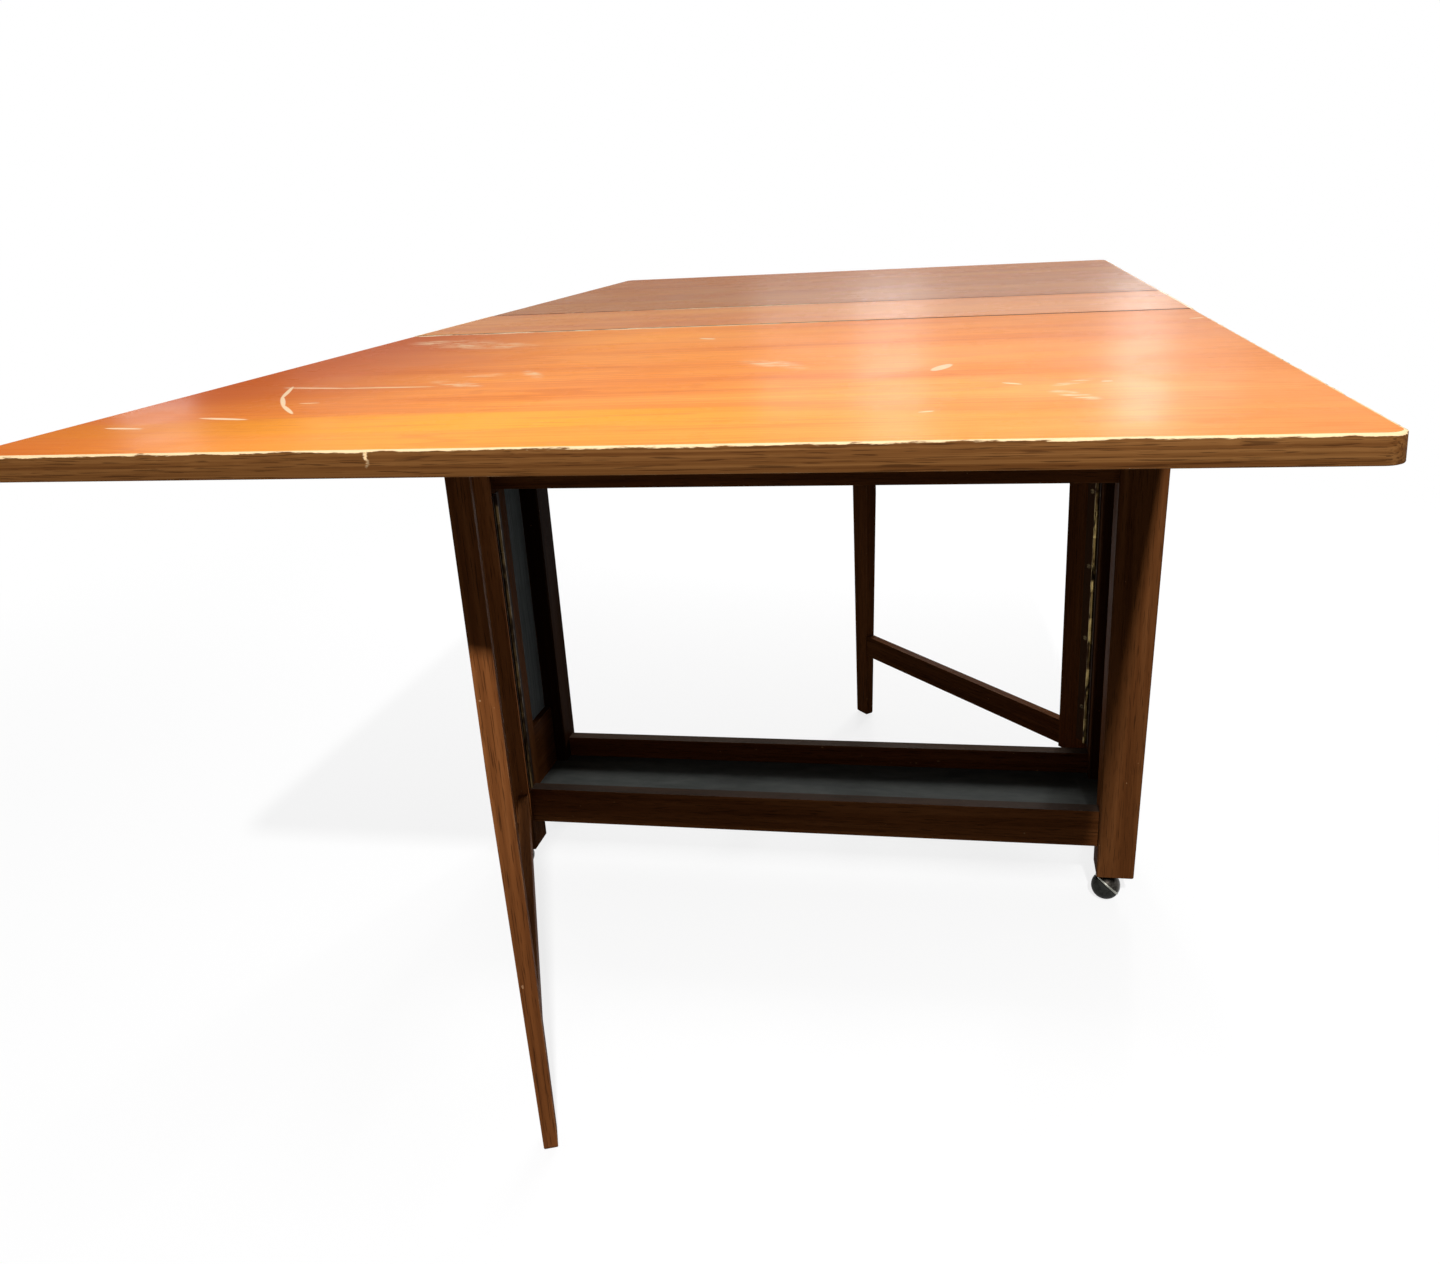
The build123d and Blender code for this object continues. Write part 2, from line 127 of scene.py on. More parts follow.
def turnedUp(tree):  # 1 on faces that look up, -1 on faces that look down
    return put(tree, "SeparateXYZ", {0: put(tree, "NewGeometry").outputs["Normal"]}).outputs["Z"]


noiseMiddle = 0.5  # noise lies about this, between 0 and 1


def cloudy(tree, vector, detail=3.0, rough=0.5, warp=0.0):
    values = {"Vector": vector, "Scale": 1.0, "Detail": detail, "Roughness": rough, "Distortion": warp}
    return put(tree, "TexNoise", values).outputs[0]


def wornEdges(tree, radius, low=0.05, high=0.35):  # 1 on the arrises of a piece, 0 on its flat faces
    rounded = put(tree, "Bevel", {"Radius": radius}, samples=4).outputs[0]
    flat = put(tree, "NewGeometry").outputs["Normal"]
    same = put(tree, "VectorMath", {0: rounded, 1: flat}, operation="DOT_PRODUCT").outputs["Value"]
    return between(tree, less(tree, 1.0, same), low, high)


def bumped(tree, height, depth, strength):
    return put(tree, "Bump", {"Height": height, "Distance": depth, "Strength": strength}).outputs[0]


def material(name):
    made = bpy.data.materials.new(name)
    made.use_nodes = True
    made.node_tree.nodes.clear()
    return made, made.node_tree


def shaded(tree, **values):
    values = {key.replace("_", " "): value for key, value in values.items()}
    shader = put(tree, "BsdfPrincipled", values)
    put(tree, "OutputMaterial", {"Surface": shader.outputs[0]})


def dress(nodeName, finish):
    slots = cad[nodeName].data.materials
    slots.clear()
    slots.append(finish)


# top boards: orange varnished veneer, grain along the seams
veneer = {
    "dark": (0.60, 0.150, 0.022),
    "middle": (0.77, 0.258, 0.040),
    "light": (0.84, 0.340, 0.062),
    "stops": (0.33, 0.50, 0.68),
    "figure": (0.70, 0.060, 0.060),
    "figureShare": 0.55,
    "streak": (0.45, 0.0032, 0.0032),
    "ring": (0.50, 0.115, 0.022),
    "ringCount": 75.0,
    "ringWaver": 2.5,
    "ringWidth": (0.55, 1.0),
    "ringFade": (0.35, 0.65, 0.05, 0.40),
    "pore": (0.34, 0.085, 0.018),
    "poreSize": (0.022, 0.0007, 0.0007),
    "poreRange": (0.60, 0.72),
    "poreStrength": 0.35,
    "under": (0.20, 0.105, 0.050),
    "underFacing": (0.2, 0.6),
    "dullSize": (0.12, 0.12, 0.12),
    "dullRange": (0.35, 0.65),
    "roughness": (0.23, 0.30),
    "bump": (0.0001, 0.08),
}
# tints of the near leaf, with the stretch of X or Y over which each comes in
nearTints = {
    "waver": 0.10,  # how far the figure pushes their edges about
    "stripe": (0.86, 0.345, 0.030),
    "stripeFrom": (-0.682, -0.708, 0.0, 0.9),
    "stripeTo": (-0.722, -0.748, 1.0, 0.12),
    "stripeSide": (0.22, -0.12, 0.2, 1.0),
    # red darkens the left and back of the leaf: the wood's own redder tone, with painted shade of the light
    # falling off to the left
    "red": (0.47, 0.088, 0.008),
    "redLeft": (-0.11, -0.44),
    "redFront": (-0.67, -0.57, 0.7, 1.0),
    "redBack": (-0.45, -0.14, 0.0, 0.24),
    "redBackSide": (-0.10, 0.12),
    "right": (0.64, 0.240, 0.090),
    "rightFrom": (0.20, 0.42, 0.0, 0.6),
}
# dirt with painted shade along the seams, and bare wood, with the size of the noise that breaks them up
veneerWear = {
    "grime": (0.060, 0.018, 0.008),
    "dirtAndShadeCore": 0.3,
    "dirtAndShadeStrength": 0.9,
    "bare": (0.82, 0.64, 0.42),
    "bareRoughness": 0.8,
    "ragged": (0.030, 0.004, 0.004),
    "raggedFrom": 0.36,
    "raggedGain": 3.0,
    "scratchEdge": (0.05, 0.25),
    "scratchStrength": 0.85,
    "scuffEdge": (0.0, 0.6),
    "scuffStrength": 0.75,
    "grit": (0.030, 0.0045, 0.0045),
    "gritRange": (0.48, 0.58),
    "overrun": 0.7,  # a mark runs on past its ends, so that the next piece of it meets it
}
# what each seam edge shows: where it lies, how far the dark of dirt and painted shade and the bare wood reach
# in, and the bare stretch along X
seamEdges = {
    "nearLeaf": {"line": nearSeam, "darkening": 0.0050, "bare": 0.0170, "from": (0.20, -0.12)},
    "centreFront": {"line": centreFront, "darkening": 0.0040, "bare": 0.0010, "from": (0.0, -0.20)},
    "centreBack": {"line": centreBack, "darkening": 0.0035, "bare": 0.0200, "from": (0.10, -0.06),
                   "to": (-0.185, -0.215)},
    "farLeaf": {"line": farSeam, "darkening": 0.0040, "bare": 0.0010, "from": (0.0, -0.20)},
}
# each board's colour is scaled by its painted light: the centre and far boards are darkened as painted shade
# of the light falling off towards the back
boards = {
    "near_leaf": {"finish": "nearLeafVeneer", "seat": (0.11, 0.0, 0.0), "paintedLight": 1.05, "ior": 1.010,
                  "seams": ("nearLeaf",)},
    "centre_top": {"finish": "centreVeneer", "seat": (0.47, 0.21, 0.0), "paintedLight": 0.74, "ior": 1.015,
                   "seams": ("centreFront", "centreBack")},
    "far_leaf": {"finish": "farLeafVeneer", "seat": (0.83, 0.43, 0.0), "paintedLight": 0.50, "ior": 1.0155,
                 "seams": ("farLeaf",)},
}
# scratches and scuffs on the near leaf: points (x, y) along the mark and its half width, metres
scratches = [
    ([(-0.278, -0.663), (-0.305, -0.628), (-0.331, -0.585), (-0.354, -0.531)], 0.0022),
    ([(-0.354, -0.531), (-0.300, -0.542), (-0.226, -0.546)], 0.0030),
    ([(-0.337, -0.679), (-0.304, -0.687)], 0.0036),
    ([(-0.390, -0.713), (-0.366, -0.717)], 0.0030),
    ([(-0.294, -0.619), (-0.283, -0.618)], 0.0020),
    ([(0.184, -0.527), (0.191, -0.506)], 0.0065),
    ([(0.181, -0.716), (0.186, -0.714)], 0.0024),
    ([(0.234, -0.605), (0.242, -0.611)], 0.0026),
    ([(0.300, -0.608), (0.303, -0.608)], 0.0026),
    ([(-0.058, -0.253), (-0.048, -0.259)], 0.0042),
    ([(0.418, -0.219), (0.425, -0.217)], 0.0035),
]
scuffs = [
    ([(-0.368, -0.205), (-0.315, -0.225)], 0.034),
    ([(-0.330, -0.235), (-0.262, -0.262)], 0.034),
    ([(-0.222, -0.522), (-0.187, -0.546)], 0.013),
    ([(-0.205, -0.490), (-0.186, -0.484)], 0.012),
    ([(-0.165, -0.472), (-0.142, -0.510)], 0.009),
    ([(0.030, -0.446), (0.066, -0.486)], 0.018),
    ([(0.271, -0.618), (0.288, -0.601)], 0.008),
    ([(0.268, -0.650), (0.284, -0.676)], 0.010),
]


def marks(tree, listed):  # 1 on the middle line of the marks, falling to 0 at their sides and ends
    found = 0.0
    for points, halfWidth in listed:
        for (x0, y0), (x1, y1) in zip(points, points[1:]):
            length = math.hypot(x1 - x0, y1 - y0)
            size = (veneerWear["overrun"] * length + halfWidth, halfWidth, 1.0)
            middle = ((x0 + x1) / 2, (y0 + y1) / 2, topLevel)
            laid = laidOut(tree, size, (0.0, 0.0, math.atan2(y1 - y0, x1 - x0)), middle)
            mark = put(tree, "TexGradient", {"Vector": laid}, gradient_type="SPHERICAL").outputs[1]
            found = most(tree, found, mark)
    return found


def tintNearLeaf(tree, base, figure, place):  # pale stripe near the front; darker red to the left and behind, partly painted shade
    look = nearTints
    depth = calc(tree, "MULTIPLY_ADD", less(tree, figure, noiseMiddle), look["waver"], place["Y"])
    stripe = between(tree, depth, *look["stripeFrom"])
    stripe = times(tree, stripe, between(tree, depth, *look["stripeTo"]))
    stripe = times(tree, stripe, between(tree, place["X"], *look["stripeSide"]))
    base = blendColour(tree, stripe, base, opaque(look["stripe"]))
    redder = between(tree, place["X"], *look["redLeft"])
    redder = times(tree, redder, between(tree, depth, *look["redFront"]))
    behind = between(tree, depth, *look["redBack"])
    behind = times(tree, behind, between(tree, place["X"], *look["redBackSide"]))
    base = blendColour(tree, most(tree, redder, behind), base, opaque(look["red"]))
    return blendColour(tree, between(tree, place["X"], *look["rightFrom"]), base, opaque(look["right"]))


def veneerFinish(board, nearLeaf):
    made, tree = material(board["finish"])
    look, wear, seat, paintedLight = veneer, veneerWear, board["seat"], board["paintedLight"]
    place = ownPlace(tree)
    figure = cloudy(tree, laidOut(tree, look["figure"], start=seat), detail=3.0, rough=0.5, warp=0.5)
    streak = cloudy(tree, laidOut(tree, look["streak"], start=seat), detail=3.0, rough=0.6)
    # the board's tones are scaled by its painted light and shade factor
    tones = [opaque(look[key], paintedLight) for key in ("dark", "middle", "light")]
    base = colours(tree, mixture(tree, figure, streak, look["figureShare"]), look["stops"], tones)
    if nearLeaf:
        base = tintNearLeaf(tree, base, figure, place)
    waves = calc(tree, "MULTIPLY_ADD", streak, look["ringWaver"], times(tree, figure, look["ringCount"]))
    rings = between(tree, calc(tree, "SINE", waves), *look["ringWidth"])
    rings = times(tree, rings, between(tree, streak, *look["ringFade"]))
    base = blendColour(tree, rings, base, opaque(look["ring"], paintedLight))
    pores = cloudy(tree, laidOut(tree, look["poreSize"], start=seat), detail=1.0)
    pores = times(tree, between(tree, pores, *look["poreRange"]), look["poreStrength"])
    base = blendColour(tree, pores, base, opaque(look["pore"]))
    dull = cloudy(tree, laidOut(tree, look["dullSize"], start=seat), detail=5.0, rough=0.65)
    rough = between(tree, dull, *look["dullRange"], *look["roughness"])

    ragged = cloudy(tree, laidOut(tree, wear["ragged"], start=seat), detail=5.0, rough=0.75)
    bare = dirtAndShade = 0.0
    for seam in board["seams"]:  # dirt and painted shade along a seam, and the veneer worn through on its arris
        edge = seamEdges[seam]
        away = calc(tree, "ABSOLUTE", less(tree, place["Y"], edge["line"]))
        core = wear["dirtAndShadeCore"] * edge["darkening"]
        darkening = between(tree, away, core, edge["darkening"], wear["dirtAndShadeStrength"], 0.0)
        base = blendColour(tree, darkening, base, opaque(wear["grime"]))
        dirtAndShade = most(tree, dirtAndShade, darkening)
        stretch = between(tree, place["X"], *edge["from"])
        if "to" in edge:
            stretch = times(tree, stretch, between(tree, place["X"], *edge["to"], 1.0, 0.0))
        reach = times(tree, less(tree, ragged, wear["raggedFrom"]), wear["raggedGain"] * edge["bare"])
        bare = most(tree, bare, calc(tree, "LESS_THAN", away, times(tree, reach, stretch)))
    if nearLeaf:
        crisp = between(tree, marks(tree, scratches), *wear["scratchEdge"])
        grit = cloudy(tree, laidOut(tree, wear["grit"]), detail=3.0, rough=0.7)
        faint = between(tree, marks(tree, scuffs), *wear["scuffEdge"])
        faint = times(tree, faint, between(tree, grit, *wear["gritRange"]))
        bare = most(tree, bare, times(tree, crisp, wear["scratchStrength"]))
        bare = most(tree, bare, times(tree, faint, wear["scuffStrength"]))
    base = blendColour(tree, bare, base, opaque(wear["bare"]))
    rough = most(tree, rough, most(tree, dirtAndShade, times(tree, bare, wear["bareRoughness"])))

    varnished = between(tree, turnedUp(tree), *look["underFacing"])
    base = blendColour(tree, varnished, opaque(look["under"]), base)
    height = less(tree, streak, calc(tree, "ADD", pores, bare))
    relief = bumped(tree, height, *look["bump"])
    shaded(tree, Base_Color=base, Roughness=rough, IOR=board["ior"], Normal=relief)
    return made


for nodeName, board in boards.items():
    dress(nodeName, veneerFinish(board, nodeName == "near_leaf"))
print("top boards veneered")


# solid wood: grain runs along the length of each piece
frameWood = {
    "dark": (0.046, 0.0145, 0.0042),
    "middle": (0.094, 0.0315, 0.0088),
    "light": (0.150, 0.056, 0.0175),
    "stops": (0.30, 0.50, 0.72),
    "grain": (0.45, 0.011, 0.011),
    "grainShare": 0.7,
    "tone": (0.30, 0.09, 0.09),
    "pore": (0.014, 0.005, 0.002),
    "poreSize": (0.030, 0.0009, 0.0009),
    "poreRange": (0.57, 0.68),
    "poreStrength": 0.55,
    "worn": (0.36, 0.20, 0.10),
    "arris": 0.0022,
    "wearPatch": (0.05, 0.012, 0.012),
    "wearRange": (0.42, 0.62),
    "wearStrength": 0.55,
    "nick": (0.0055, 0.0040, 0.0040),
    "nickRange": (0.85, 0.88, 0.0, 0.7),
    "grime": (0.034, 0.034, 0.030),
    "grimeFacing": (0.6, 0.8),
    "roughRange": (0.35, 0.65),
    "roughness": (0.42, 0.62),
    "ior": 1.03,
    "bump": (0.0003, 0.5),
}
edgingWood = {
    "dark": (0.086, 0.031, 0.008),
    "middle": (0.122, 0.049, 0.0135),
    "light": (0.165, 0.072, 0.0215),
    "stops": (0.34, 0.50, 0.66),
    "grain": (0.45, 0.0022, 0.0022),
    "pore": (0.030, 0.010, 0.003),
    "poreSize": (0.030, 0.0008, 0.0008),
    "poreRange": (0.56, 0.68),
    "poreStrength": 0.6,
    "worn": (0.76, 0.56, 0.32),
    "ragged": (0.030, 0.010, 0.003),
    "wornFrom": 0.33,
    "wornReach": 0.0058,
    "wornBlur": 0.0003,
    "chipWaver": 0.010,
    "chipWidth": (0.0014, 0.0004),
    "chipRange": (0.38, 0.52, 0.15, 0.8),
    "chipFade": 0.6,
    "arris": 0.0018,
    "arrisRange": (0.50, 0.66),
    "arrisStrength": 0.35,
    "roughRange": (0.35, 0.65),
    "roughness": (0.45, 0.65),
    "ior": 1.06,
    "bump": (0.0003, 0.5),
}
upright = (0.0, -math.pi / 2, 0.0)
alongX = (0.0, 0.0, 0.0)
alongY = (0.0, 0.0, math.pi / 2)
gateWays = {
    "near": (0.0, 0.0, -math.radians(jointNamed["near_gate_hinge"]["range_deg"][1])),
    "far": (0.0, 0.0, math.pi - math.radians(jointNamed["far_gate_hinge"]["range_deg"][1])),
}


def stainedPores(tree, wood, way, seat, base):
    pores = cloudy(tree, laidOut(tree, wood["poreSize"], way, seat), detail=1.0)
    pores = times(tree, between(tree, pores, *wood["poreRange"]), wood["poreStrength"])
    return pores, blendColour(tree, pores, base, opaque(wood["pore"]))


def woodFinish(name, way, seat, paintedLight, topDarkening=0.0):
    made, tree = material(name)
    wood = frameWood
    grain = cloudy(tree, laidOut(tree, wood["grain"], way, seat), detail=4.0, rough=0.6, warp=0.4)
    tone = cloudy(tree, laidOut(tree, wood["tone"], way, seat), detail=2.0)
    # the piece's tones are scaled by its painted light and shade factor
    tints = [opaque(wood[key], paintedLight) for key in ("dark", "middle", "light")]
    base = colours(tree, mixture(tree, grain, tone, wood["grainShare"]), wood["stops"], tints)
    pores, base = stainedPores(tree, wood, way, seat, base)
    patchy = cloudy(tree, laidOut(tree, wood["wearPatch"], way, seat), detail=4.0, rough=0.65)
    wear = times(tree, wornEdges(tree, wood["arris"]), between(tree, patchy, *wood["wearRange"]))
    nicks = cloudy(tree, laidOut(tree, wood["nick"], way, seat), detail=0.0)
    wear = most(tree, times(tree, wear, wood["wearStrength"]), between(tree, nicks, *wood["nickRange"]))
    base = blendColour(tree, wear, base, opaque(wood["worn"]))
    if topDarkening:  # darker and greyer on faces turned up
        darkening = between(tree, turnedUp(tree), *wood["grimeFacing"], 0.0, topDarkening)
        base = blendColour(tree, darkening, base, opaque(wood["grime"]))
    rough = between(tree, tone, *wood["roughRange"], *wood["roughness"])
    relief = bumped(tree, less(tree, grain, pores), *wood["bump"])
    shaded(tree, Base_Color=base, Roughness=rough, IOR=wood["ior"], Normal=relief)
    return made


def edgingFinish(name, way, seat, crack=None):  # brown edging, its top arris worn to pale wood
    made, tree = material(name)
    wood = edgingWood
    place = ownPlace(tree)
    grain = cloudy(tree, laidOut(tree, wood["grain"], way, seat), detail=3.0, rough=0.6, warp=0.1)
    base = colours(tree, grain, wood["stops"], [opaque(wood[key]) for key in ("dark", "middle", "light")])
    pores, base = stainedPores(tree, wood, way, seat, base)
    ragged = cloudy(tree, laidOut(tree, wood["ragged"], way, seat), detail=5.0, rough=0.7)
    below = less(tree, topLevel, place["Z"])
    reach = times(tree, less(tree, ragged, wood["wornFrom"]), wood["wornReach"])
    bare = between(tree, less(tree, reach, below), -wood["wornBlur"], wood["wornBlur"])
    base = blendColour(tree, bare, base, opaque(wood["worn"]))
    if crack:  # chipped pale along a crack across the edging
        line, depth = crack
        waver = calc(tree, "MULTIPLY_ADD", less(tree, ragged, noiseMiddle), wood["chipWaver"], place["X"])
        away = calc(tree, "ABSOLUTE", less(tree, waver, line))
        chip = times(tree, between(tree, away, *wood["chipWidth"]), between(tree, ragged, *wood["chipRange"]))
        chip = times(tree, chip, between(tree, below, depth, wood["chipFade"] * depth))
        base = blendColour(tree, chip, base, opaque(wood["worn"]))
    rubbed = times(tree, wornEdges(tree, wood["arris"]), between(tree, ragged, *wood["arrisRange"]))
    base = blendColour(tree, times(tree, rubbed, wood["arrisStrength"]), base, opaque(wood["worn"]))
    rough = between(tree, grain, *wood["roughRange"], *wood["roughness"])
    relief = bumped(tree, less(tree, grain, pores), *wood["bump"])
    shaded(tree, Base_Color=base, Roughness=rough, IOR=wood["ior"], Normal=relief)
    return made


dress("centre_top_edging", edgingFinish("centreEdging", alongY, (0.1, 0.5, 0.0)))

# how each piece's colour is scaled as painted light and shade (lit and shaded copies of one wood, the rear
# posts darkest), and where its grain is cut from
posts = ("front_right", "front_left", "rear_right", "rear_left")
postWood = {"front_right": 1.0, "front_left": 1.0, "rear_right": 0.6, "rear_left": 0.22, "step": 0.31}
railWood = {"paintedLight": 1.5, "seat": (0.0, 0.0, 0.0), "trayTopDarkening": 0.75}
endRailWood = {"paintedLight": 0.85, "seat": (0.0, 0.2, 0.0)}
# the near and far numbers scale each gate part's colour: painted light and shade, the near stile lightest
gateWood = {
    "leg": {"finish": "LegWood", "seat": (0.0, 0.0, 0.5), "near": 1.65, "far": 1.35},
    "stile": {"finish": "StileWood", "seat": (0.1, 0.0, 0.2), "near": 2.4, "far": 1.5},
    "top_rail": {"finish": "TopRailWood", "seat": (0.0, 0.1, 0.0), "near": 1.0, "far": 1.0},
    "lower_rail": {"finish": "LowerRailWood", "seat": (0.3, 0.0, 0.0), "near": 1.1, "far": 1.1},
}
for number, corner in enumerate(posts):
    seat = (0.0, 0.0, postWood["step"] * number)
    dress(f"{corner}_post", woodFinish(f"{corner}PostWood", upright, seat, postWood[corner]))
for rail in ("front_apron", "rear_apron", "tray_front_rail", "tray_rear_rail", "top_fixing_blocks"):
    topDarkening = railWood["trayTopDarkening"] if rail.startswith("tray") else 0.0
    dress(rail, woodFinish(f"{rail}Wood", alongX, railWood["seat"], railWood["paintedLight"], topDarkening))
for end in ("left", "right"):
    for rail in (f"{end}_end_top_rail", f"{end}_end_bottom_rail"):
        dress(rail, woodFinish(f"{rail}Wood", alongY, endRailWood["seat"], endRailWood["paintedLight"]))
for gate, gateWay in gateWays.items():
    for part, look in gateWood.items():
        way = gateWay if part.endswith("rail") else upright
        dress(f"{gate}_gate_{part}", woodFinish(gate + look["finish"], way, look["seat"], look[gate]))
print("frame and gates stained")


# end panels and tray: dull grey board, black painted board
panelBoard = {
    "dark": (0.098, 0.106, 0.096),
    "light": (0.31, 0.33, 0.30),
    "stops": (0.34, 0.64),
    "grain": (0.090, 0.0022, 0.0022),
    "grainShare": 0.7,
    "stain": (0.25, 0.05, 0.05),
    # behind the joint the board is darker and bluer: painted shade of the recessed part
    "rearPaintedShade": (0.74, 0.80, 0.90),
    "jointAt": -0.015,  # two boards meet in a pale line
    "jointWidth": (0.0011, 0.00055),
    "jointPale": (0.50, 0.50, 0.46),
    "roughness": (0.3, 0.7, 0.55, 0.75),
    "ior": 1.03,
    "bump": (0.0004, 0.6),
    # each panel's colour is scaled by its painted light: raised on the left panel, the right panel darkened
    # as painted shade
    "left": {"seat": (0.0, 0.0, 0.1), "paintedLight": 1.15},
    "right": {"seat": (0.0, 0.2, 0.4), "paintedLight": 0.25},
}
trayBoard = {
    "dark": (0.070, 0.077, 0.073),
    "light": (0.105, 0.113, 0.106),
    "stops": (0.35, 0.65),
    "paint": (0.06, 0.02, 0.02),
    "dust": (0.15, 0.15, 0.14),
    "dustSize": (0.20, 0.08, 0.08),
    "dustSeat": (0.3, 0.1, 0.0),
    "dustRange": (0.52, 0.75),
    "dustStrength": 0.35,
    "roughness": (0.3, 0.7, 0.42, 0.62),
    "ior": 1.03,
    "bump": (0.0003, 0.4),
}


def panelFinish(end):
    made, tree = material(f"{end}PanelBoard")
    look, seat, paintedLight = panelBoard, panelBoard[end]["seat"], panelBoard[end]["paintedLight"]
    grain = cloudy(tree, laidOut(tree, look["grain"], upright, seat), detail=3.0, rough=0.6, warp=0.3)
    stain = cloudy(tree, laidOut(tree, look["stain"], upright, seat), detail=3.0)
    # the panel's tones are scaled by its painted light and shade factor
    tints = [opaque(look[key], paintedLight) for key in ("dark", "light")]
    base = colours(tree, mixture(tree, grain, stain, look["grainShare"]), look["stops"], tints)
    fromJoint = less(tree, ownPlace(tree)["Y"], look["jointAt"])
    # the part behind the joint is darkened and blued: painted shade
    shadedRear = blendColour(tree, 1.0, base, opaque(look["rearPaintedShade"]), "MULTIPLY")
    base = blendColour(tree, calc(tree, "GREATER_THAN", fromJoint, 0.0), base, shadedRear)
    joint = between(tree, calc(tree, "ABSOLUTE", fromJoint), *look["jointWidth"])
    base = blendColour(tree, joint, base, opaque(look["jointPale"], paintedLight))
    rough = between(tree, stain, *look["roughness"])
    relief = bumped(tree, grain, *look["bump"])
    shaded(tree, Base_Color=base, Roughness=rough, IOR=look["ior"], Normal=relief)
    return made


def trayFinish(name):
    made, tree = material(name)
    look = trayBoard
    paint = cloudy(tree, laidOut(tree, look["paint"]), detail=4.0, rough=0.6)
    base = colours(tree, paint, look["stops"], [opaque(look[key]) for key in ("dark", "light")])
    dust = cloudy(tree, laidOut(tree, look["dustSize"], start=look["dustSeat"]), detail=6.0, rough=0.7)
    dust = times(tree, between(tree, dust, *look["dustRange"]), look["dustStrength"])
    base = blendColour(tree, dust, base, opaque(look["dust"]))
    rough = between(tree, paint, *look["roughness"])
    relief = bumped(tree, paint, *look["bump"])
    shaded(tree, Base_Color=base, Roughness=rough, IOR=look["ior"], Normal=relief)
    return made


for end in ("left", "right"):
    dress(f"{end}_end_panel", panelFinish(end))
dress("tray_floor", trayFinish("trayPaint"))
print("panels and tray done")


# leaf edging, modelled with its worn and nicked top arris
edging = {
    "width": 0.003,
    "spareWidths": 4.0,  # the ring runs this far past the seam and is cut off there
    "cornerRadius": 0.014,
    "cornerSteps": 8,
    "frontCuts": 170,
    "sideCuts": 135,
    "arris": 0.0010,
    "arrisSteps": 2,
    "wear": 0.0013,
    "wearSize": 0.010,
    "wearDetail": 3,
    "crack": -0.145,  # across the near leaf's front
    "crackDepth": 0.011,
    "crackHalf": 0.0012,
    "crackDent": 0.0015,
    "crackReach": 0.02,
    "smoothDeg": 35.0,
    "nearSeat": (0.2, 0.0, 0.0),
    "farSeat": (0.6, 0.0, 0.0),
    "tiny": 1.0e-5,  # closer than this counts as the same place
}


def pick(piece, kind, wanted):  # selects vertices, edges or faces by their place, and goes to edit mode
    mesh = piece.data
    for part in (*mesh.vertices, *mesh.edges, *mesh.polygons):
        part.select = False
    spots = [vertex.co for vertex in mesh.vertices]
    for part in getattr(mesh, kind):
        ends = [part.co] if kind == "vertices" else [spots[number] for number in part.vertices]
        part.select = all(wanted(spot) for spot in ends)
    bpy.ops.object.mode_set(mode="EDIT")
    bpy.ops.mesh.select_mode(type={"vertices": "VERT", "edges": "EDGE", "polygons": "FACE"}[kind])


def backToObject():
    bpy.ops.object.mode_set(mode="OBJECT")


def crackEdging(piece, top, inside):  # three cuts across the edging, the middle one pushed in
    line, tiny = edging["crack"], edging["tiny"]
    foot = top - edging["crackDepth"]
    half = edging["crackHalf"]
    cuts = [((line + away, 0.0, 0.0), (1.0, 0.0, 0.0)) for away in (-half, 0.0, half)]
    for place, normal in (*cuts, ((0.0, 0.0, foot), (0.0, 0.0, 1.0))):
        pick(piece, "polygons", lambda spot: abs(spot.x - line) < edging["crackReach"])
        bpy.ops.mesh.bisect(plane_co=place, plane_no=normal)
        backToObject()
    pick(piece, "vertices", lambda spot: abs(spot.x - line) < 4 * tiny
         and spot.z > foot + tiny and inside(spot) < edging["width"] / 2)
    bpy.ops.transform.translate(value=(0.0, edging["crackDent"], 0.0))
    backToObject()


